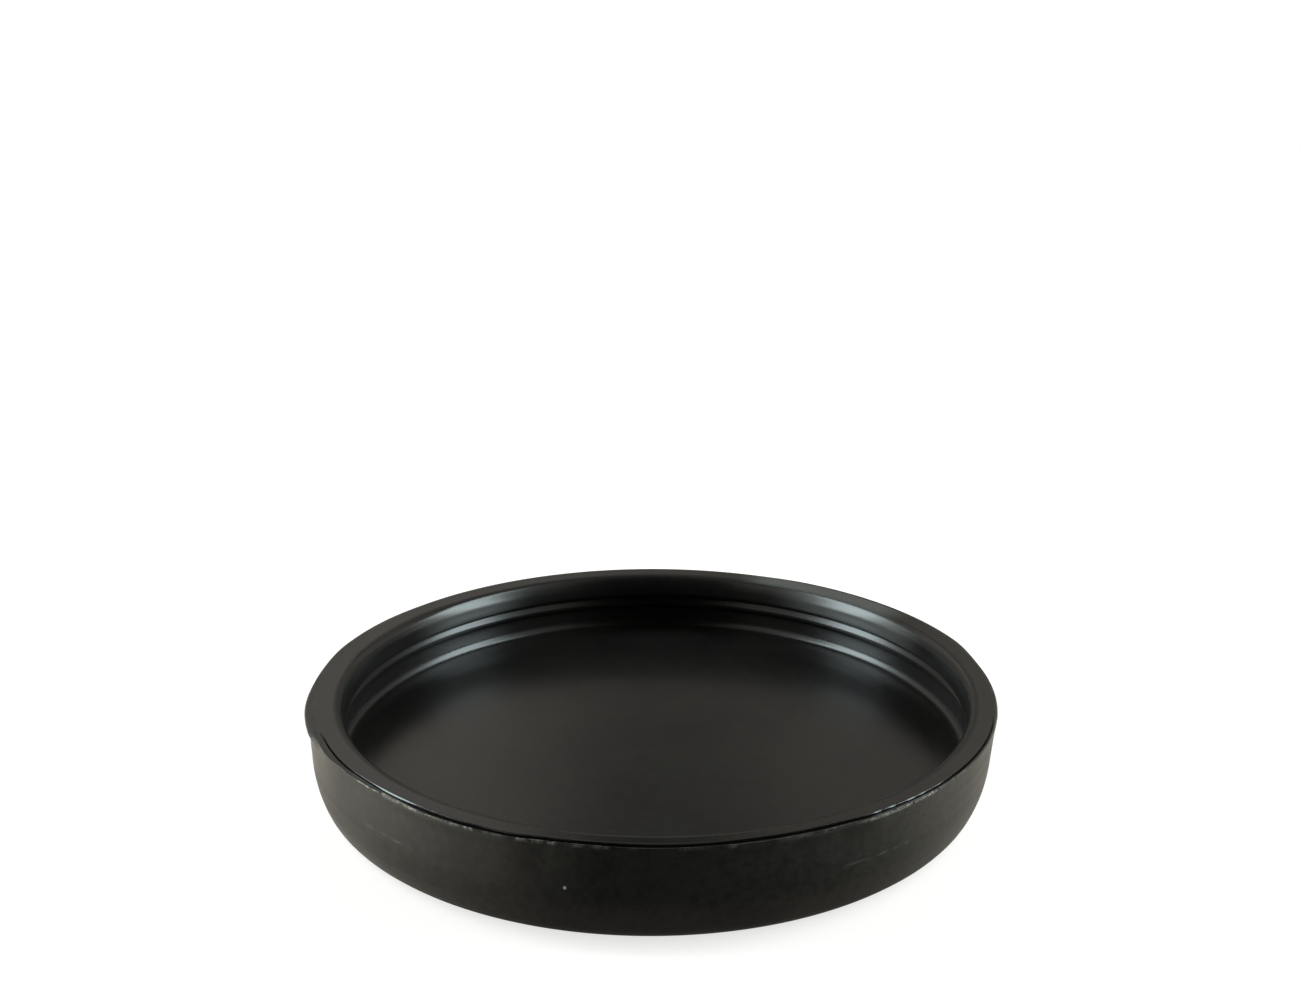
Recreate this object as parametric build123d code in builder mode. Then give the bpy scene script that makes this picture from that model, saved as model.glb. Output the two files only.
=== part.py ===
from build123d import *
from math import asin, cos, degrees, radians, sin
import os

# Leveling foot cap: the black rubber shoe that is pressed over the round steel
# plate of a screw-in leveling foot, so that the foot neither slips nor scratches.
# It is compression moulded in one piece, and every section through its axis is
# the same.
#
# +Z is up, along the foot's stud.  The origin is the middle of the underside,
# where the cap stands on the floor.  Lengths are millimetres, angles degrees.

# ---- the steel foot plate that the cap holds --------------------------------
plate_diameter = 29.8
plate_thickness = 0.95
plate_clearance = 0.1       # gap round the plate's edge
plate_play = 0.15           # gap between the plate and the bead over it

# ---- the cup under the plate ------------------------------------------------
floor_thickness = 0.95
seat_chamfer = 0.65         # where the floor turns up into the wall

# ---- the small bead that keeps the plate down -------------------------------
bead_reach = 0.3            # how far it stands in from the plate's seat
bead_under_height = 0.3
bead_crest_height = 0.12
bead_crest_radius = 0.1

# ---- the groove between the bead and the lip --------------------------------
groove_depth = 0.15         # behind the bead's crest
groove_shoulder_height = 0.22
groove_height = 0.09

# ---- the snap lip, which the plate is pushed past ---------------------------
snap_overlap = 0.45         # how far the lip reaches in over the plate
lip_under_height = 0.3
throat_height = 0.25        # the lip's narrowest stretch
lead_in_radius = 1.4        # the slow curve that opens the lip upwards
lead_in_angle = 25.0        # how far the lead-in leans out at its top
rim_inner_radius = 0.45     # from the lead-in over to the flat rim

# ---- the rim and its parting line -------------------------------------------
rim_width = 1.48            # from the throat out to the wall
parting_band_width = 0.3    # rim outside the crease
crease_width = 0.12
crease_depth = 0.1
crease_bead_radius = 0.1    # the rounded edge on the crease's inner side
flash_reach = 0.07          # what is left of the trimmed flash
flash_height = 0.14
flash_tip_drop = 0.05       # the flash's tip lies this far under the rim

# ---- the outside ------------------------------------------------------------
wall_draft = 3.0
belly_height = 2.0          # below this the wall curves in to the base
belly_radius = 4.4
base_corner_radius = 0.9

# ---- radii, worked outwards from the plate's edge ---------------------------
plate_radius = plate_diameter / 2
seat_radius = plate_radius + plate_clearance
bead_radius = seat_radius - bead_reach
groove_radius = bead_radius + groove_depth
throat_radius = plate_radius - snap_overlap
wall_top_radius = throat_radius + rim_width
flash_radius = wall_top_radius + flash_reach
crease_outer_radius = wall_top_radius - parting_band_width
crease_bottom_radius = crease_outer_radius - crease_width / 2
crease_inner_radius = crease_outer_radius - crease_width

# ---- heights, stacked up from the floor -------------------------------------
bead_bottom = floor_thickness + plate_thickness + plate_play
bead_crest_bottom = bead_bottom + bead_under_height
bead_crest_top = bead_crest_bottom + bead_crest_height
groove_bottom = bead_crest_top + groove_shoulder_height
groove_top = groove_bottom + groove_height
throat_bottom = groove_top + lip_under_height
throat_top = throat_bottom + throat_height
lead_in_top = throat_top + lead_in_radius * sin(radians(lead_in_angle))
cap_height = lead_in_top + rim_inner_radius * (1 - sin(radians(lead_in_angle)))
wall_top = cap_height - flash_height

# ---- the drafted wall, and the belly that carries it on to the base ---------
wall_length = (wall_top - belly_height) / cos(radians(wall_draft))
belly_centre_height = belly_height + belly_radius * sin(radians(wall_draft))
belly_turn = degrees(asin(belly_centre_height / belly_radius)) - wall_draft


with BuildPart() as cap:
    # Half of the cap's section: X is the distance from the axis, Y the height.
    with BuildSketch(Plane.XZ) as section:
        with BuildLine():
            # The cup's floor and seat, the bead over the plate, and the groove.
            inside = Polyline(
                (0, 0),
                (0, floor_thickness),
                (seat_radius - seat_chamfer, floor_thickness),
                (seat_radius, floor_thickness + seat_chamfer),
                (seat_radius, bead_bottom),
                (bead_radius, bead_crest_bottom),
                (bead_radius, bead_crest_top),
                (groove_radius, groove_bottom),
                (groove_radius, groove_top),
                (throat_radius, throat_bottom),
                (throat_radius, throat_top),
            )
            # The lip opens upwards in a slow curve, then rolls over to the rim.
            lead_in = JernArc(inside @ 1, (0, 1), lead_in_radius, -lead_in_angle)
            roll_over = JernArc(lead_in @ 1, lead_in % 1, rim_inner_radius, lead_in_angle - 90)
            # The flat rim, its crease, and the flash at the parting line.
            rim = Polyline(
                roll_over @ 1,
                (crease_inner_radius, cap_height),
                (crease_bottom_radius, cap_height - crease_depth),
                (crease_outer_radius, cap_height),
                (wall_top_radius, cap_height),
                (flash_radius, cap_height - flash_tip_drop),
                (wall_top_radius, wall_top),
            )
            # The wall leans in downwards and curves under, to the flat base.
            wall = PolarLine(rim @ 1, wall_length, -90 - wall_draft)
            belly = JernArc(wall @ 1, wall % 1, belly_radius, -belly_turn)
            Line(belly @ 1, inside @ 0)
        make_face()

        # Each corner is found by the point that it lies at.
        rounded_corners = [
            ((bead_radius, bead_crest_bottom), bead_crest_radius),
            ((crease_inner_radius, cap_height), crease_bead_radius),
            (belly @ 1, base_corner_radius),
        ]
        for corner, radius in rounded_corners:
            fillet(section.vertices().sort_by_distance(corner)[0], radius)
    revolve(axis=Axis.Z)

cap.part.label = "cap"
os.makedirs("parts", exist_ok=True)
export_step(cap.part, "parts/cap.step")
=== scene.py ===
import math

import bpy
import numpy as np
from mathutils import Matrix, Vector


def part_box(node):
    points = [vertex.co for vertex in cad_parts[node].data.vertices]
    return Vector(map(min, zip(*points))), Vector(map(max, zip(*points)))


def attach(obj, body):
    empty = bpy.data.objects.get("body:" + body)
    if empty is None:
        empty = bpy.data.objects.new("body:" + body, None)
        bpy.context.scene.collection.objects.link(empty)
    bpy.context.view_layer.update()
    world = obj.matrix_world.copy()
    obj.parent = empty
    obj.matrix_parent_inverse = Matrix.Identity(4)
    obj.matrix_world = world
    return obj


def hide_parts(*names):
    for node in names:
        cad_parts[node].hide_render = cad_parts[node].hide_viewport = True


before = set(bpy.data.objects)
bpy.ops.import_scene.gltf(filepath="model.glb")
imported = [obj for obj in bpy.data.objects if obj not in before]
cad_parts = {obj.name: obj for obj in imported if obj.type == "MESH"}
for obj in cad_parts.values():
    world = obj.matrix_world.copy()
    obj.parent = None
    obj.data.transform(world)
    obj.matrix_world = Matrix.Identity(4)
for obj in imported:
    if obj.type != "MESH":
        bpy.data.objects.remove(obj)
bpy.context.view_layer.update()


# ---- Camera ------------------------------------------------------------------
# A standard lens two cap widths away, looking down at the cup so that its rim,
# its inner wall and its outer wall all show.
MM = 0.001
rim_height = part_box("cap")[1].z
camera_offset = Vector((-0.09, -58.59, 25.14)) * MM    # from the middle of the rim
camera_dip = math.radians(15.69)
camera_roll = math.radians(0.04)
focal_in_widths = 1326.13 / 1300                       # focal length over the frame's width

camera_data = bpy.data.cameras.new("studio_camera")
camera_data.sensor_width = 36.0
camera_data.lens = focal_in_widths * camera_data.sensor_width
camera_data.clip_start = 1 * MM
camera_data.clip_end = 10.0
camera = bpy.data.objects.new("studio_camera", camera_data)
camera.location = Vector((0, 0, rim_height)) + camera_offset
camera.rotation_euler = (math.pi / 2 - camera_dip, camera_roll, 0)
bpy.context.scene.collection.objects.link(camera)
bpy.context.scene.camera = camera


# ---- Cap: section ------------------------------------------------------------
# The cap is compression moulded in black rubber in one piece: a cup with a
# belly outside, and inside a snap lip that the foot's steel plate is pushed
# past.  Lengths are in millimetres, as distance from the axis and height.
rim_top = rim_height / MM - 0.005    # a hair under the solid's rim
floor_top = 0.95
draft = math.radians(3.0)


def arc(centre, radius, start, end, count):
    """Points on an arc of the section, from one angle to the other, in degrees."""
    turn = np.radians(np.linspace(start, end, count))
    return [(centre[0] + radius * np.cos(a), centre[1] + radius * np.sin(a)) for a in turn]


# The underside, its rounded corner, the belly and the drafted wall.
wall_top_radius = 15.93
corner_drop = 0.38            # the wall starts this far below the rim
belly_top = 2.0
belly_radius = 4.4
base_corner = 0.9
wall_foot_radius = wall_top_radius - (rim_top - corner_drop - belly_top) * math.tan(draft)
belly_centre = (wall_foot_radius - belly_radius * math.cos(draft),
                belly_top + belly_radius * math.sin(draft))
corner_rise = belly_centre[1] - base_corner
corner_reach = math.sqrt((belly_radius - base_corner) ** 2 - corner_rise ** 2)
corner_centre = (belly_centre[0] + corner_reach, base_corner)
corner_turn = -math.degrees(math.atan2(corner_rise, corner_reach))

middle_radius = 7.0           # the innermost ring, over the floor and under the base
outside = [(middle_radius, 0.0), (corner_centre[0] - 0.6, 0.0)]
outside += arc(corner_centre, base_corner, -90, corner_turn, 8)
outside += arc(belly_centre, belly_radius, corner_turn, -math.degrees(draft), 10)[1:]
wall_start = len(outside)
highlight_line_height = 2.43             # a faint painted highlight runs round part of the wall here
wall_heights = [2.2, highlight_line_height - 0.08, highlight_line_height, highlight_line_height + 0.08, 2.75, 3.0, 3.25, 3.5,
                rim_top - corner_drop]
outside += [(wall_foot_radius + (level - belly_top) * math.tan(draft), level) for level in wall_heights]

# The roll from the rim over to the lip, and the lip's slow lead-in.
land_inner_radius = 14.99
roll_radius = 0.45
lead_in_radius = 1.4
lead_in_start = 155           # where the roll meets the lead-in, in degrees round both arcs
roll = arc((land_inner_radius, rim_top - roll_radius), roll_radius, 90, lead_in_start, 9)
roll_end_radius, roll_end_height = roll[-1]
lead_turn = math.radians(180 - lead_in_start)
lead_in_centre = (roll_end_radius + lead_in_radius * math.cos(lead_turn),
                  roll_end_height - lead_in_radius * math.sin(lead_turn))
inside = roll + arc(lead_in_centre, lead_in_radius, lead_in_start, 180, 7)[1:]

# The throat and the lip's under edge, the groove, the bead over the plate's
# edge, and the seat, which turns in to the floor.
throat_radius = 14.45
groove_radius = 14.85
bead_radius = 14.7
seat_radius = 15.0
seat_corner = 0.5
inside += [(throat_radius, 3.2), (throat_radius, 3.09), (14.47, 3.05), (14.52, 3.01)]
inside += [(14.75, 2.86), (groove_radius, 2.80), (groove_radius + 0.01, 2.75), (groove_radius - 0.01, 2.70)]
inside += [(14.78, 2.60), (14.725, 2.53), (bead_radius, 2.47), (bead_radius, 2.42), (14.71, 2.37)]
inside += [(14.75, 2.31), (14.90, 2.15), (14.98, 2.07), (seat_radius, 2.02), (seat_radius, 1.85)]
inside += arc((seat_radius - seat_corner, 1.5), seat_corner, 0, -90, 7)[:-1]
inside += [(14.4, floor_top), (13.2, floor_top), (middle_radius, floor_top)]


# ---- Cap: turned shape -------------------------------------------------------
# The section is carried round the stud's axis.  Along the front the flash was
# torn off past a crease in the rim and left a ragged edge; round the back the
# rim closes to a plain corner.
segments = 960
angles = np.arange(segments) / segments * 2 * np.pi
bearing = (np.degrees(angles) + 180) % 360 - 180      # 0 is +X, -90 is the front
lean = 0.0218                                         # the soft cup leans this steeply towards +X


def smooth_step(values, start, end):
    """0 up to the start and 1 past the end, with an S-curve between them."""
    t = np.clip((values - start) / (end - start), 0, 1)
    return t * t * (3 - 2 * t)


def stretch(first, last, soft):
    """1 from one bearing to another, fading to 0 over the soft degrees past each."""
    away = np.abs((bearing - (first + last) / 2 + 180) % 360 - 180)
    half = (last - first) / 2
    return 1 - smooth_step(away, half, half + soft)


def waves(seed, lowest, highest, count):
    """A smooth random value round the rim, mostly between -1 and 1, that meets itself."""
    rng = np.random.default_rng(seed)
    cycles = rng.integers(lowest, highest + 1, count)
    phases = rng.uniform(0, 2 * np.pi, count)
    return sum(np.cos(c * angles + p) for c, p in zip(cycles, phases)) / math.sqrt(count)


off_centre = 0.16 * np.cos(angles)                    # the core sat this far towards +X
opened = stretch(-152, -22, 6)                        # where the flash is torn off
front = stretch(-104, -64, 7)
left_end = stretch(-175, -146, 12)
right_end = stretch(-30, -15, 10)

# Where the flash tore pale: first and last bearing, and how pale.
tears = [(-138.6, -136.6, 0.9), (-136.0, -134.6, 1.0), (-134.3, -131.6, 0.55), (-129.3, -127.9, 0.4),
         (-127.3, -125.3, 1.0), (-124.3, -121.8, 0.45), (-121.2, -117.8, 0.38), (-116.7, -115.6, 0.55),
         (-113.6, -111.0, 0.1), (-108.8, -107.9, 0.32), (-107.3, -106.5, 0.26), (-106.0, -105.0, 0.2),
         (-104.3, -103.4, 0.24), (-100.8, -99.4, 0.12), (-98.6, -96.2, 0.09), (-93.5, -92.2, 0.03),
         (-86.2, -85.3, 0.08), (-84.8, -82.6, 0.05), (-79.4, -79.0, 0.3), (-72.4, -67.3, 0.035),
         (-65.8, -64.6, 0.1), (-59.4, -57.6, 0.3), (-56.8, -54.6, 0.35), (-53.4, -50.2, 0.4),
         (-49.5, -47.2, 0.36), (-46.4, -45.6, 1.0), (-45.1, -43.1, 0.36), (-40.5, -36.5, 0.2)]
torn = sum(how_pale * stretch(first, last, 0.4) for first, last, how_pale in tears)
torn = np.clip(torn * (1.0 + 0.4 * waves(9, 60, 240, 24)), 0, 1)
fray = np.clip(waves(3, 20, 70, 14) + 0.6 * waves(4, 90, 300, 30), -1.4, 1.4)
ragged = fray * (0.010 + 0.026 * np.sqrt(torn))       # the pale places are the roughest
curl = 0.15 + 0.85 * np.sqrt(torn)                    # and stand up as a fine curl

# The crease, the step down to the rim outside it, and the torn edge.
crease_radius = 15.60 + off_centre - 0.135 * front + 0.015 * waves(6, 4, 24, 8)
crease_radius += 0.11 * left_end - 0.05 * stretch(-75, -57, 8) + 0.06 * right_end
step_down = 0.07 + 0.018 * front + 0.04 * stretch(-125, -110, 8) + 0.006 * waves(7, 6, 40, 10)
wall_line = 15.75 + off_centre - 0.15 * front + 0.27 * stretch(-165, -150, 14) + 0.06 * right_end
edge_radius = wall_line + 0.12 * stretch(-141, -135, 3) + 0.015 * waves(8, 5, 30, 8)
drawn_in = opened * (wall_top_radius - wall_line)

# Towards the back left the inner edge of the land is rounder.
land_inner = land_inner_radius + off_centre + 0.15 * stretch(145, 168, 10)

# The plain corner of the closed rim, with the flash that is left on it: it
# stands out a little, unevenly.
plain_edge = 15.83
plain_round = 0.15
plain_drop = 0.14
lip_reach = 0.11 * stretch(-166, -158, 14) + 0.11 * stretch(152, 166, 11) + 0.22 * stretch(18, 56, 14)
# Where the rim is closed, the rings of the torn edge and of the crease lie flat
# on it, each at its own distance in from the plain edge.  They are spread so
# that the slot's middle stays at the crease's radius, in line with the open part.
slot_flat = 0.17
in_line = np.clip((plain_edge - crease_radius) / slot_flat, 0.12, 1.3)


def wall_radius(level):
    """The wall's radius at a height: straight, but drawn in towards the torn edge."""
    up = np.clip((level - belly_top) / (rim_top - step_down - belly_top), 0, 1)
    return wall_top_radius - (rim_top - corner_drop - level) * math.tan(draft) - drawn_in * up ** 1.2


# The rim's rings, from the wall inwards, as radius and height over the rim:
# once for where it is open and once for where it is closed.
open_rim = []
closed_rim = []
edge_drop = 0.012                     # the corner starts this far below the torn edge
torn_corner = corner_drop - 0.15      # and is this deep, to end just above the wall
for turn in np.radians(np.linspace(90, 0, 6)):
    rounding = 1 - math.cos(turn)
    drop = step_down + edge_drop + torn_corner * rounding
    on_wall = smooth_step(rounding, 0.0, 0.3)
    open_rim.append(((1 - on_wall) * (edge_radius + ragged) + on_wall * wall_radius(rim_top - drop), -drop))
    closed_rim.append((plain_edge + (plain_round + lip_reach) * math.sin(turn), -plain_drop * rounding))

# The torn edge: each ring's distance out from it, its height and its flat place.
torn_start = len(outside) + len(open_rim)
for out, rise, flat in [(0.012 * curl, -0.008 + 0.004 * curl + 0.7 * ragged, 0.03),
                        (-0.006, 0.016 * curl + ragged, 0.06),
                        (-0.035, 0.006 * curl + 0.4 * ragged, 0.09)]:
    open_rim.append((edge_radius + ragged + out, rise - step_down))
    closed_rim.append((plain_edge - flat * in_line, 0.0))

# The crease: a ledge, and a slot down beside it.
slot_start = len(outside) + len(open_rim)
slot_width = 0.035 + 0.035 * front
slot_depth = 0.09 + 0.07 * stretch(-46, -30, 5)
for out, drop, flat in [(slot_width + 0.03, 0.0, 0.11), (slot_width + 0.015, 0.0, 0.13),
                        (slot_width, 0.02, 0.15), (slot_width - 0.01, slot_depth, slot_flat),
                        (0.0, slot_depth, 0.19), (0.0, 0.02, 0.21)]:
    open_rim.append((crease_radius + out, -step_down - drop))
    closed_rim.append((plain_edge - flat * in_line, 0.0))

# The crease's inner corner is sharp, and rounder where the flash was pulled
# back over it: first and last bearing, how softly it ends, and how much rounder.
pulled = [(-132.5, -129.0, 4, 0.06), (-123.4, -123.0, 0.6, 0.02), (-57.0, -55.9, 0.3, 0.04),
          (-54.2, -53.2, 0.3, 0.05), (-50.8, -49.4, 0.3, 0.04), (-48.2, -47.2, 0.3, 0.03),
          (-44.6, -43.4, 0.4, 0.02)]
bead_round = 0.012 + sum(rounder * stretch(first, last, soft) for first, last, soft, rounder in pulled)
for turn in np.radians(np.linspace(0, 90, 6)):
    open_rim.append((crease_radius - bead_round * (1 - math.cos(turn)), bead_round * (math.sin(turn) - 1)))
    closed_rim.append((plain_edge - (0.25 + 0.03 * turn) * in_line, 0.0))

# The land, flat from the crease to the roll.
land_edge = crease_radius - bead_round
closed_land_edge = 15.5
for share in (0.25, 0.6, 0.94):
    open_rim.append((land_edge + share * (land_inner - land_edge), 0.0))
    closed_rim.append((closed_land_edge + share * (land_inner - closed_land_edge), 0.0))

# All rings in order: the outside, the rim, the inside.
first_inside = len(outside) + len(open_rim)
rings = first_inside + len(inside)
radius = np.zeros((rings, segments))
height = np.zeros((rings, segments))
for ring, (r, z) in enumerate(outside):
    radius[ring] = r if ring < wall_start else wall_radius(z)
    height[ring] = z
for ring, (opened_to, closed_to) in enumerate(zip(open_rim, closed_rim), start=len(outside)):
    radius[ring] = opened * opened_to[0] + (1 - opened) * closed_to[0]
    height[ring] = rim_top + opened * opened_to[1] + (1 - opened) * closed_to[1]
# The inside is off centre as a whole, and its roll starts where the land ends.
for ring, (r, z) in enumerate(inside, start=first_inside):
    on_roll = z > roll_end_height
    up_roll = np.clip((r - roll_end_radius) / (land_inner_radius - roll_end_radius), 0, 1) if on_roll else 0
    radius[ring] = r + off_centre + up_roll * (land_inner - land_inner_radius - off_centre)
    height[ring] = z
# The belly's top and the wall are a little out of round.
radius[wall_start - 5:len(outside)] -= 0.006 * (1 + waves(11, 2, 9, 6))

x = radius * np.cos(angles) + lean * (height - rim_top)
y = radius * np.sin(angles)
points = np.stack([x, y, height], axis=-1).reshape(-1, 3)
base_pole = len(points)
floor_pole = base_pole + 1
points = np.vstack([points, [[0, 0, 0], [0, 0, floor_top]]])

ring_start = np.arange(rings - 1)[:, None] * segments
here = np.arange(segments)
following = (here + 1) % segments
quads = np.stack([ring_start + here, ring_start + following,
                  ring_start + segments + following, ring_start + segments + here], axis=-1).reshape(-1, 4)
last_ring = (rings - 1) * segments
fans = [(int(j), int(i), base_pole) for i, j in zip(here, following)]
fans += [(last_ring + int(i), last_ring + int(j), floor_pole) for i, j in zip(here, following)]

mesh = bpy.data.meshes.new("rubber_cap")
mesh.from_pydata((points * MM).tolist(), [], quads.tolist() + fans)
mesh.shade_smooth()
mesh.update()
cap = bpy.data.objects.new("rubber_cap", mesh)
bpy.context.scene.collection.objects.link(cap)
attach(cap, "root")
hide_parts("cap")


# ---- Cap: moulded rubber -----------------------------------------------------
# Black rubber takes the skin of its mould.  The outside is satin with faint
# turning marks, the core side is polished and shines, and the torn flash is a
# pale, dry crumb.
step = np.hypot(np.diff(radius, axis=0), np.diff(height, axis=0)).mean(axis=1)
along = np.repeat(radius[0].mean() + np.append(0, np.cumsum(step)), segments).reshape(rings, segments)

# The core's side starts at the crease.  Its land shines most, the start of the
# roll is as dull as the outside, and the rest lies between them.
lip_polish = 0.55
roll_dull_end = first_inside + 3
core_side = np.zeros((rings, segments))
core_side[slot_start:] = 1.0
polish = np.zeros((rings, segments))
polish[slot_start:first_inside] = 1.0
polish[roll_dull_end:] = lip_polish

# The torn edge is pale where it tore.  The corner under it is dull in two
# places, and at the front the pale rubber reaches further down.
torn_edge = np.zeros((rings, segments))
torn_edge[torn_start - 3:torn_start] = 0.3 * (stretch(-134, -126, 3) + stretch(-58, -46, 3))
torn_edge[torn_start - 4] = 0.3 * front * torn
torn_edge[torn_start - 3] = np.maximum(torn_edge[torn_start - 3], (0.3 + 0.6 * front) * torn)
torn_edge[torn_start - 2:torn_start + 2] = np.maximum(torn_edge[torn_start - 2:torn_start + 2], torn)

# Grey painted light: faint painted highlight lines, a few millimetres long,
# on the wall; a painted highlight on the rim at the back right; and a painted
# reflection of the left-out plate on the lead-in on both sides of the back.
wall_highlight_lines = stretch(-136, -127, 1.5) + stretch(-61.5, -51.5, 1.5)
wall_highlight_lines *= np.clip(0.35 + 0.35 * waves(14, 40, 160, 14), 0, 1)
painted_light = np.zeros((rings, segments))
painted_light[wall_start + wall_heights.index(highlight_line_height)] = wall_highlight_lines
mid_roll = first_inside + len(roll) // 2 + 1
painted_light[torn_start:mid_roll] = 0.75 * stretch(38, 62, 10)
lead_in_first = first_inside + len(roll) - 2
throat_last = first_inside + 2 * len(roll)
painted_light[lead_in_first:throat_last] = 0.7 * (stretch(32, 50, 14) + stretch(130, 138, 14))

# Each goes to the mesh as an attribute.  It is 0 in the middle of the base,
# and has the value given here in the middle of the cup's floor.
at_floor_pole = along[-1, 0] + radius[-1].mean()
for name, values, pole_value in (("along", along, at_floor_pole), ("core_side", core_side, 1.0),
                                 ("polish", polish, lip_polish), ("torn_edge", torn_edge, 0.0),
                                 ("painted_light", painted_light, 0.0)):
    stored = mesh.attributes.new(name, "FLOAT", "POINT")
    stored.data.foreach_set("value", np.append(values.reshape(-1), [0.0, pole_value]).astype(np.float32))


def linear(code):
    """An sRGB hex colour as linear red, green, blue and alpha."""
    parts = [int(code[i:i + 2], 16) / 255 for i in (1, 3, 5)]
    return [c / 12.92 if c <= 0.04045 else ((c + 0.055) / 1.055) ** 2.4 for c in parts] + [1.0]


def add(tree, kind, settings=None, values=None, links=None):
    """Adds a node, with its settings, its unlinked values and the sockets that feed it."""
    made = tree.nodes.new(kind)
    for name, value in (settings or {}).items():
        setattr(made, name, value)
    for name, value in (values or {}).items():
        made.inputs[name].default_value = value
    for name, socket in (links or {}).items():
        tree.links.new(socket, made.inputs[name])
    return made


bare_black = linear("#0f0e0d")
haze_black = linear("#272621")
# The grey of the painted highlights and of the painted reflection.
painted_light_grey = linear("#51524f")
crumb_cream = linear("#cac1b0")
speck_cream = linear("#c2bcb0")

rubber = bpy.data.materials.new("moulded_black_rubber")
rubber.use_nodes = True
tree = rubber.node_tree
shader = tree.nodes["Principled BSDF"]
shader.inputs["IOR"].default_value = 1.52

place = add(tree, "ShaderNodeTexCoord")
along_node = add(tree, "ShaderNodeAttribute", {"attribute_name": "along"})
core_node = add(tree, "ShaderNodeAttribute", {"attribute_name": "core_side"})
polish_node = add(tree, "ShaderNodeAttribute", {"attribute_name": "polish"})
torn_node = add(tree, "ShaderNodeAttribute", {"attribute_name": "torn_edge"})
painted_light_node = add(tree, "ShaderNodeAttribute", {"attribute_name": "painted_light"})

# Turning marks of the mould: 9 mm long round the cap and 0.16 mm across.
mark_length = 9.0
mark_width = 0.16
across = add(tree, "ShaderNodeMath", {"operation": "DIVIDE"}, {1: mark_width},
             {0: along_node.outputs["Fac"]})
lift = add(tree, "ShaderNodeCombineXYZ", links={"Z": across.outputs[0]})
mark_place = add(tree, "ShaderNodeVectorMath", {"operation": "MULTIPLY_ADD"},
                 {1: (1 / (mark_length * MM), 1 / (mark_length * MM), 0)},
                 {0: place.outputs["Object"], 2: lift.outputs[0]})
marks = add(tree, "ShaderNodeTexNoise", values={"Scale": 1.0, "Detail": 3.0, "Roughness": 0.6},
            links={"Vector": mark_place.outputs[0]})

# Moulded skin: a grain of 0.05 mm, drawn at 0.14 mm so that it shows.
grain_size = 0.14
grain = add(tree, "ShaderNodeTexNoise",
            values={"Scale": 1 / (grain_size * MM), "Detail": 2.0, "Roughness": 0.6},
            links={"Vector": place.outputs["Object"]})

# Bloom: a thin grey haze in patches of about 5 mm, which breaks up into flecks
# of about 0.4 mm.  There is little of it on the core's side.
bloom_size = 5.0
fleck_size = 0.4
bloom = add(tree, "ShaderNodeTexNoise",
            values={"Scale": 1 / (bloom_size * MM), "Detail": 4.0, "Roughness": 0.55},
            links={"Vector": place.outputs["Object"]})
mottle = add(tree, "ShaderNodeTexNoise",
             values={"Scale": 1 / (fleck_size * MM), "Detail": 4.0, "Roughness": 0.7},
             links={"Vector": place.outputs["Object"]})
haze = add(tree, "ShaderNodeMath", {"operation": "MULTIPLY"},
           links={0: mottle.outputs["Fac"], 1: bloom.outputs["Fac"]})
haze_amount = add(tree, "ShaderNodeMapRange", values={"From Min": 0.17, "From Max": 0.34},
                  links={"Value": haze.outputs[0]})
outer_share = add(tree, "ShaderNodeMapRange", values={"To Min": 1.0, "To Max": 0.2},
                  links={"Value": core_node.outputs["Fac"]})
outer_haze = add(tree, "ShaderNodeMath", {"operation": "MULTIPLY"},
                 links={0: haze_amount.outputs[0], 1: outer_share.outputs[0]})
skin = add(tree, "ShaderNodeMix", {"data_type": "RGBA"}, {"A": bare_black, "B": haze_black},
           {"Factor": outer_haze.outputs[0]})
# Painted light: the grey painted highlights and painted reflection, mixed over the skin.
painted_light_mix = add(tree, "ShaderNodeMix", {"data_type": "RGBA"}, {"B": painted_light_grey},
           {"Factor": painted_light_node.outputs["Fac"], "A": skin.outputs["Result"]})

# The torn edge is pale in crumbs, as large as the grain is drawn.
crumb_spots = add(tree, "ShaderNodeMapRange", values={"From Min": 0.36, "From Max": 0.56},
                  links={"Value": grain.outputs["Fac"]})
crumb = add(tree, "ShaderNodeMath", {"operation": "MULTIPLY"},
            links={0: torn_node.outputs["Fac"], 1: crumb_spots.outputs[0]})
crumbs = add(tree, "ShaderNodeMix", {"data_type": "RGBA"}, {"B": crumb_cream},
             {"Factor": crumb.outputs[0], "A": painted_light_mix.outputs["Result"]})

# One loose crumb, a little over 0.1 mm across, sticks to the front of the wall.
speck_place = (-3.25 * MM, -15.47 * MM, 2.39 * MM)
speck_away = add(tree, "ShaderNodeVectorMath", {"operation": "DISTANCE"}, {1: speck_place},
                 {0: place.outputs["Object"]})
speck = add(tree, "ShaderNodeMapRange", values={"From Min": 0.08 * MM, "From Max": 0.05 * MM},
            links={"Value": speck_away.outputs["Value"]})
colour = add(tree, "ShaderNodeMix", {"data_type": "RGBA"}, {"B": speck_cream},
             {"Factor": speck.outputs[0], "A": crumbs.outputs["Result"]})
tree.links.new(colour.outputs["Result"], shader.inputs["Base Color"])

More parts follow.
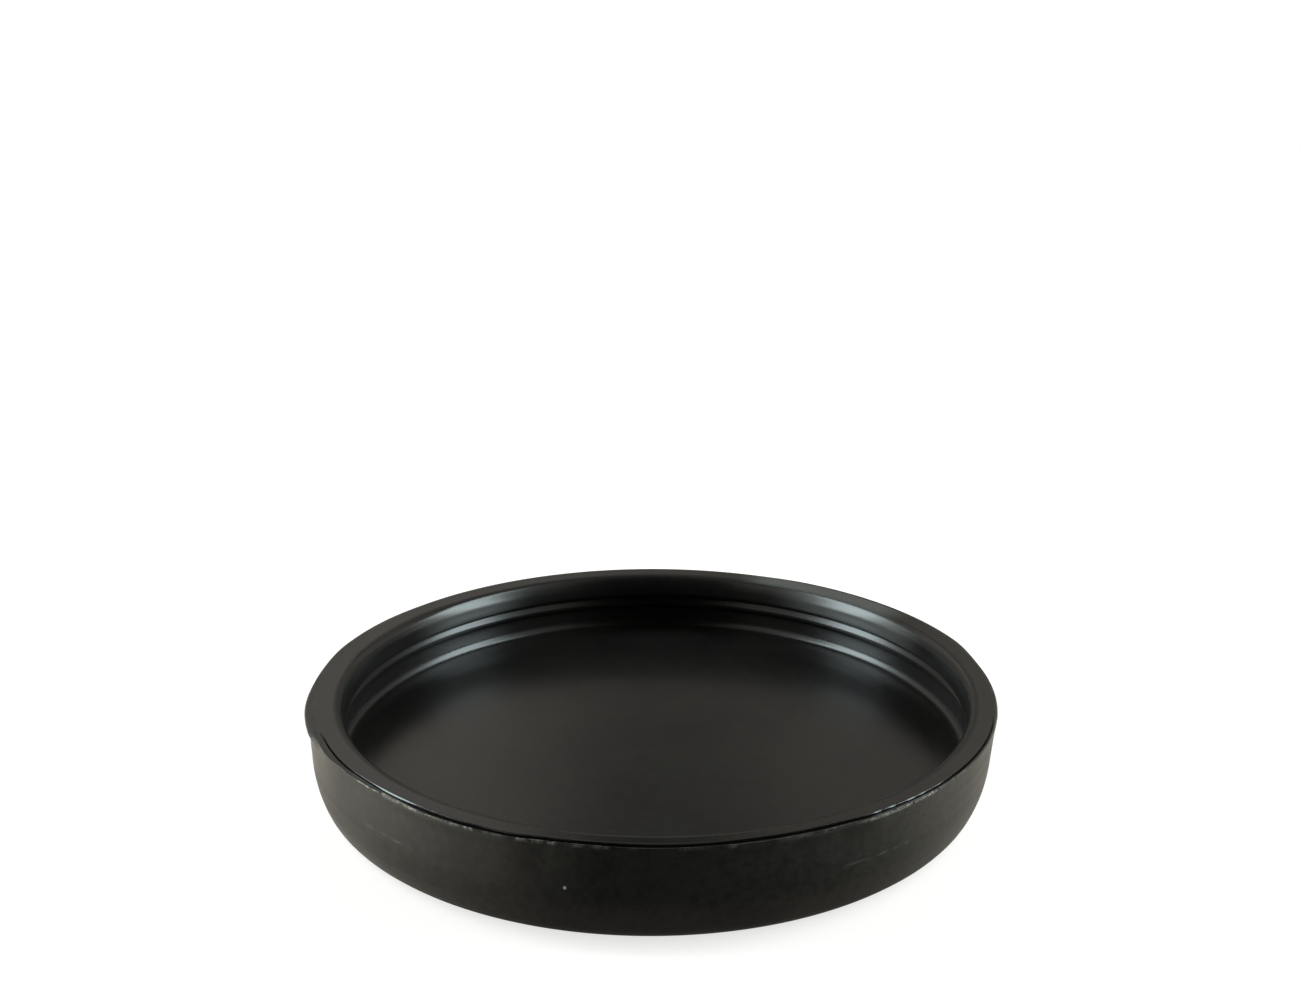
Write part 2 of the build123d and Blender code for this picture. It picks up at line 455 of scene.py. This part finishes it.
# Satin outside and shiny on the core's side, both a little uneven along the
# turning marks; dull where it tore, and dullest on the crumbs.
satin = 0.33
shiny = 0.18
torn_roughness = 0.8
crumb_roughness = 0.85
side_gloss = add(tree, "ShaderNodeMapRange", values={"To Min": satin, "To Max": shiny},
                 links={"Value": polish_node.outputs["Fac"]})
gloss_change = add(tree, "ShaderNodeMapRange",
                   values={"From Min": 0.3, "From Max": 0.7, "To Min": -0.05, "To Max": 0.05},
                   links={"Value": marks.outputs["Fac"]})
gloss = add(tree, "ShaderNodeMath", {"operation": "MULTIPLY_ADD"},
            links={0: gloss_change.outputs[0], 1: outer_share.outputs[0], 2: side_gloss.outputs[0]})
torn_dull = add(tree, "ShaderNodeMapRange", values={"From Max": 0.3},
                links={"Value": torn_node.outputs["Fac"]})
torn_gloss = add(tree, "ShaderNodeMix", {"data_type": "FLOAT"}, {"B": torn_roughness},
                 {"Factor": torn_dull.outputs[0], "A": gloss.outputs[0]})
pale = add(tree, "ShaderNodeMath", {"operation": "MAXIMUM"},
           links={0: crumb.outputs[0], 1: speck.outputs[0]})
dull = add(tree, "ShaderNodeMix", {"data_type": "FLOAT"}, {"B": crumb_roughness},
           {"Factor": pale.outputs[0], "A": torn_gloss.outputs["Result"]})
tree.links.new(dull.outputs["Result"], shader.inputs["Roughness"])

# Both reliefs are 3 thousandths of a millimetre deep.
relief = 0.003
mark_bump = add(tree, "ShaderNodeBump", values={"Distance": relief * MM},
                links={"Height": marks.outputs["Fac"], "Strength": outer_share.outputs[0]})
grain_bump = add(tree, "ShaderNodeBump", values={"Strength": 1.0, "Distance": relief * MM},
                 links={"Height": grain.outputs["Fac"], "Normal": mark_bump.outputs[0]})
tree.links.new(grain_bump.outputs[0], shader.inputs["Normal"])
mesh.materials.append(rubber)


# ---- Floor -------------------------------------------------------------------
# White paper.  To the lens it glows to plain white and keeps the cap's soft
# shadow; what the cap sees is a white sheet on each side and a dark lane of
# painted shade that widens towards the lens, which keeps black rubber black.
floor_half = 1.5
floor_mesh = bpy.data.meshes.new("floor")
floor_mesh.from_pydata([(-floor_half, -floor_half, 0), (floor_half, -floor_half, 0),
                        (floor_half, floor_half, 0), (-floor_half, floor_half, 0)], [], [(0, 1, 2, 3)])
floor = bpy.data.objects.new("floor", floor_mesh)
bpy.context.scene.collection.objects.link(floor)

lane_shade_grey = linear("#45413f")
sheet_white = linear("#fae8d8")
shadow_grey = linear("#aea5a0")
paper_glow = linear("#fff4e8")

paper = bpy.data.materials.new("white_paper")
paper.use_nodes = True
tree = paper.node_tree
tree.nodes.clear()
place = add(tree, "ShaderNodeTexCoord")
sides = add(tree, "ShaderNodeSeparateXYZ", links={0: place.outputs["Object"]})
spread = add(tree, "ShaderNodeVectorMath", {"operation": "LENGTH"}, links={0: place.outputs["Object"]})

# The lane of painted shade: by the way off the line from the cap to the lens,
# seen from the cap.  The sheet on the right of it is painted a little darker, as painted shade.
lane_shift = 2.6
off_lane = add(tree, "ShaderNodeMath", {"operation": "SUBTRACT"}, {1: lane_shift * MM},
               {0: sides.outputs["X"]})
aside = add(tree, "ShaderNodeMath", {"operation": "ABSOLUTE"}, links={0: off_lane.outputs[0]})
ahead = add(tree, "ShaderNodeMath", {"operation": "MULTIPLY"}, {1: -1.0}, {0: sides.outputs["Y"]})
way_off = add(tree, "ShaderNodeMath", {"operation": "ARCTAN2"},
              links={0: aside.outputs[0], 1: ahead.outputs[0]})
paper_share = add(tree, "ShaderNodeMapRange", {"interpolation_type": "SMOOTHSTEP"},
                  {"From Min": -8 * MM, "From Max": 8 * MM, "To Min": 1.0, "To Max": 0.70},
                  {"Value": sides.outputs["X"]})
lane = add(tree, "ShaderNodeMapRange", {"interpolation_type": "SMOOTHSTEP"},
           {"From Min": math.radians(14), "From Max": math.radians(64)},
           {"Value": way_off.outputs[0], "To Max": paper_share.outputs[0]})

# The sheet itself, with painted shadow that darkens it close to the cap, and
# light through it from below, most under the belly and none in the sheet's full white.
clear_of_foot = add(tree, "ShaderNodeMapRange", {"interpolation_type": "SMOOTHSTEP"},
                    {"From Min": 15.0 * MM, "From Max": 19.5 * MM, "To Min": 0.8, "To Max": 1.0},
                    {"Value": spread.outputs["Value"]})
paper_light = add(tree, "ShaderNodeMath", {"operation": "MULTIPLY"},
                  links={0: lane.outputs[0], 1: clear_of_foot.outputs[0]})
sheet = add(tree, "ShaderNodeMix", {"data_type": "RGBA"}, {"A": lane_shade_grey, "B": sheet_white},
            {"Factor": paper_light.outputs[0]})
lit_sheet = add(tree, "ShaderNodeBsdfDiffuse", links={"Color": sheet.outputs["Result"]})
under_belly = add(tree, "ShaderNodeMapRange", {"interpolation_type": "SMOOTHSTEP"},
                  {"From Min": 16.0 * MM, "From Max": 19.0 * MM, "To Min": 0.14, "To Max": 0.02},
                  {"Value": spread.outputs["Value"]})
in_lane = add(tree, "ShaderNodeMix", {"data_type": "FLOAT"}, {"B": 0.0},
              {"Factor": lane.outputs[0], "A": under_belly.outputs[0]})
light_table = add(tree, "ShaderNodeEmission", values={"Color": paper_glow},
                  links={"Strength": in_lane.outputs["Result"]})
seen_by_cap = add(tree, "ShaderNodeAddShader", links={0: lit_sheet.outputs[0], 1: light_table.outputs[0]})

# To the lens the paper glows white.  Near the cap it glows a little less, and
# lamplight makes up the rest, so that the cap's shadow shows.
far = add(tree, "ShaderNodeMapRange",
          values={"From Min": 30 * MM, "From Max": 200 * MM, "To Min": 0.72, "To Max": 1.0},
          links={"Value": spread.outputs["Value"]})
glow = add(tree, "ShaderNodeEmission", links={"Strength": far.outputs[0]})
shaded = add(tree, "ShaderNodeBsdfDiffuse", values={"Color": shadow_grey})
seen_by_lens = add(tree, "ShaderNodeAddShader", links={0: glow.outputs[0], 1: shaded.outputs[0]})
path = add(tree, "ShaderNodeLightPath")
choice = add(tree, "ShaderNodeMixShader", links={0: path.outputs["Is Camera Ray"], 1: seen_by_cap.outputs[0],
                                                 2: seen_by_lens.outputs[0]})
add(tree, "ShaderNodeOutputMaterial", links={"Surface": choice.outputs[0]})
floor_mesh.materials.append(paper)


# ---- Light -------------------------------------------------------------------
# Two upright strip softboxes, a stronger one on the left and a weaker one on
# the right, in a white tent that is dim along the line of the lens.
tent_white = linear("#fff7ec")
plain_white = linear("#ffffff")
softbox_white = linear("#e9fbff")

world = bpy.data.worlds.new("studio")
world.use_nodes = True
bpy.context.scene.world = world
tree = world.node_tree
background = tree.nodes["Background"]
place = add(tree, "ShaderNodeTexCoord")
sides = add(tree, "ShaderNodeSeparateXYZ", links={0: place.outputs["Generated"]})
aside = add(tree, "ShaderNodeMath", {"operation": "ABSOLUTE"}, links={0: sides.outputs["X"]})

# The tent is open towards the lens, in a wedge that narrows to a slit behind
# the cap.  Behind the cap only a short stretch of that slit stays open, at
# about 30 degrees up.
ahead = add(tree, "ShaderNodeMath", {"operation": "MINIMUM"}, {1: 0.0}, {0: sides.outputs["Y"]})
off_lens = add(tree, "ShaderNodeMath", {"operation": "MULTIPLY_ADD"}, {1: 0.6},
               {0: ahead.outputs[0], 2: aside.outputs[0]})
off_line = add(tree, "ShaderNodeMapRange", {"interpolation_type": "SMOOTHSTEP"},
               {"From Min": 0.02, "From Max": 0.13}, {"Value": off_lens.outputs[0]})
off_level = add(tree, "ShaderNodeMath", {"operation": "SUBTRACT"}, {1: 0.5}, {0: sides.outputs["Z"]})
level_gap = add(tree, "ShaderNodeMath", {"operation": "ABSOLUTE"}, links={0: off_level.outputs[0]})
past_slit = add(tree, "ShaderNodeMapRange", {"interpolation_type": "SMOOTHSTEP"},
                {"From Min": 0.06, "From Max": 0.11}, {"Value": level_gap.outputs[0]})
behind = add(tree, "ShaderNodeMath", {"operation": "GREATER_THAN"}, {1: 0.0}, {0: sides.outputs["Y"]})
back_wall = add(tree, "ShaderNodeMath", {"operation": "MULTIPLY"},
                links={0: past_slit.outputs[0], 1: behind.outputs[0]})
open_tent = add(tree, "ShaderNodeMath", {"operation": "MAXIMUM"},
                links={0: off_line.outputs[0], 1: back_wall.outputs[0]})

# Its cloth is brighter on the left, and brightest at about 28 degrees up.
from_left = add(tree, "ShaderNodeMapRange", values={"From Min": -1.0, "From Max": 1.0},
                links={"Value": sides.outputs["X"]})
side_ramp = add(tree, "ShaderNodeValToRGB", links={"Fac": from_left.outputs[0]})
side_stops = ((0.425, 0.66), (0.56, 0.38), (0.585, 0.40), (0.61, 0.47))
height_ramp = add(tree, "ShaderNodeValToRGB", links={"Fac": sides.outputs["Z"]})
height_stops = ((0.05, 0.32), (0.28, 0.42), (0.34, 0.50), (0.395, 0.64), (0.44, 0.92), (0.47, 1.0),
                (0.9, 0.4))
for ramp, stops in ((side_ramp, side_stops), (height_ramp, height_stops)):
    for stop, share in stops:
        mark = ramp.color_ramp.elements.new(stop)
        mark.color = (share, share, share, 1.0)
    for made_at_end in (-1, 0):
        ramp.color_ramp.elements.remove(ramp.color_ramp.elements[made_at_end])
tent = add(tree, "ShaderNodeMath", {"operation": "MULTIPLY"},
           links={0: open_tent.outputs[0], 1: side_ramp.outputs["Color"]})
dimmed = add(tree, "ShaderNodeMath", {"operation": "MULTIPLY"},
             links={0: tent.outputs[0], 1: height_ramp.outputs["Color"]})

# A bright flap stands low on each side.
to_side = add(tree, "ShaderNodeMapRange", {"interpolation_type": "SMOOTHSTEP"},
              {"From Min": 0.89, "From Max": 1.0}, {"Value": aside.outputs[0]})
near_floor = add(tree, "ShaderNodeMapRange", {"interpolation_type": "SMOOTHSTEP"},
                 {"From Min": 0.35, "From Max": 0.12, "To Max": 1.1}, {"Value": sides.outputs["Z"]})
flap = add(tree, "ShaderNodeMath", {"operation": "MULTIPLY_ADD"},
           links={0: to_side.outputs[0], 1: near_floor.outputs[0], 2: dimmed.outputs[0]})

# The lens sees plain white all round.
path = add(tree, "ShaderNodeLightPath")
strength = add(tree, "ShaderNodeMix", {"data_type": "FLOAT"}, {"B": 1.0},
               {"Factor": path.outputs["Is Camera Ray"], "A": flap.outputs[0]})
tint = add(tree, "ShaderNodeMix", {"data_type": "RGBA"}, {"A": tent_white, "B": plain_white},
           {"Factor": path.outputs["Is Camera Ray"]})
tree.links.new(strength.outputs["Result"], background.inputs["Strength"])
tree.links.new(tint.outputs["Result"], background.inputs["Color"])

# Each softbox: the way to its foot and the foot's height, the way to its head
# and the head's height, and its width, all in degrees as the cap sees it, and
# its brightness.
lamp_distance = 0.17
softboxes = [
    ("left_softbox", 188.5, -1, 156, 54, 22, 10.0),
    ("right_softbox", -17, -1, 31, 58, 22, 8.8),
]


def way_to(way, lift):
    """The direction at a bearing and a height in degrees, seen from the cap."""
    flat = math.cos(math.radians(lift))
    return Vector((math.cos(math.radians(way)) * flat, math.sin(math.radians(way)) * flat,
                   math.sin(math.radians(lift))))


for name, foot_way, foot_lift, head_way, head_lift, wide, brightness in softboxes:
    foot = way_to(foot_way, foot_lift)
    head = way_to(head_way, head_lift)
    towards = (foot + head).normalized()
    upright = (head - foot).normalized()
    lamp = bpy.data.lights.new(name, "AREA")
    lamp.shape = "RECTANGLE"
    lamp.color = softbox_white[:3]
    lamp.size = 2 * lamp_distance * math.tan(math.radians(wide / 2))
    lamp.size_y = 2 * lamp_distance * math.tan(foot.angle(head) / 2)
    lamp.energy = brightness * math.pi * lamp.size * lamp.size_y
    stand = bpy.data.objects.new(name, lamp)
    stand.location = towards * lamp_distance
    stand.rotation_euler = Matrix((upright.cross(towards), upright, towards)).transposed().to_euler()
    stand.visible_camera = False
    bpy.context.scene.collection.objects.link(stand)

bpy.context.scene.view_settings.view_transform = "Standard"
